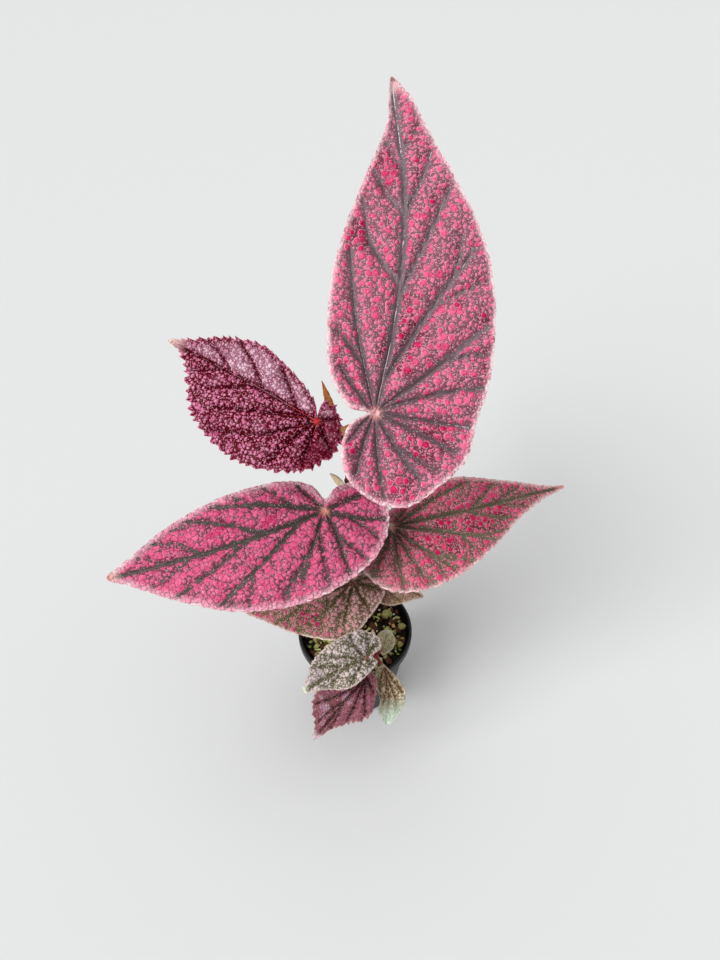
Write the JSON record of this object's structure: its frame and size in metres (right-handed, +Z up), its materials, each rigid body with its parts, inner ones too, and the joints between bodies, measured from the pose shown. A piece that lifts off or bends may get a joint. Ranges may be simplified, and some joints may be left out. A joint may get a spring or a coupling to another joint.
{
  "type": "potted rex begonia",
  "caption": "Young rex begonia with spotted pink, burgundy and silver leaves on red stalks, standing in a small round black nursery pot of chunky mix.",
  "frame": {"origin": "middle of the pot's flat base, where it stands", "axes": "+Z up along the pot's axis, -Y towards the side that the leaves face, +X to the right seen from that side"},
  "size_m": [0.2702, 0.1989, 0.3881],
  "materials": {
    "pot_plastic": "satin",
    "potting_mix": "matte",
    "pumice": "matte",
    "bark": "matte",
    "cane_skin": "satin",
    "shoot_skin": "satin",
    "petiole_skin": "satin",
    "blade_pink": "satin",
    "blade_olive": "satin",
    "blade_burgundy": "satin",
    "blade_mauve": "satin",
    "blade_silver": "satin",
    "blade_mint": "satin",
    "dry_bract": "matte"
  },
  "bodies": {
    "root": {"pot": "pot_plastic", "potting_mix": "potting_mix", "pumice_1": "pumice", "pumice_2": "pumice", "pumice_3": "pumice", "pumice_4": "pumice", "bark_1": "bark", "bark_2": "bark", "cane": "cane_skin", "basal_shoot": "shoot_skin", "leaf_tall": "blade_pink", "petiole_tall": "petiole_skin", "leaf_upper": "blade_burgundy", "petiole_upper": "petiole_skin", "leaf_left": "blade_pink", "petiole_left": "petiole_skin", "leaf_right": "blade_olive", "petiole_right": "petiole_skin", "leaf_low": "blade_olive", "petiole_low": "petiole_skin", "leaf_behind": "blade_olive", "petiole_behind": "petiole_skin", "leaf_silver": "blade_silver", "petiole_silver": "petiole_skin", "leaf_burgundy": "blade_mauve", "petiole_burgundy": "petiole_skin", "leaf_mint": "blade_mint", "petiole_mint": "petiole_skin", "leaf_round": "blade_mint", "petiole_round": "petiole_skin", "stipule_spike": "dry_bract", "stipule_tan": "dry_bract", "stipule_pair_a": "dry_bract", "stipule_pair_b": "dry_bract", "stipule_base_a": "dry_bract", "stipule_base_b": "dry_bract"}
  },
  "joints": []
}
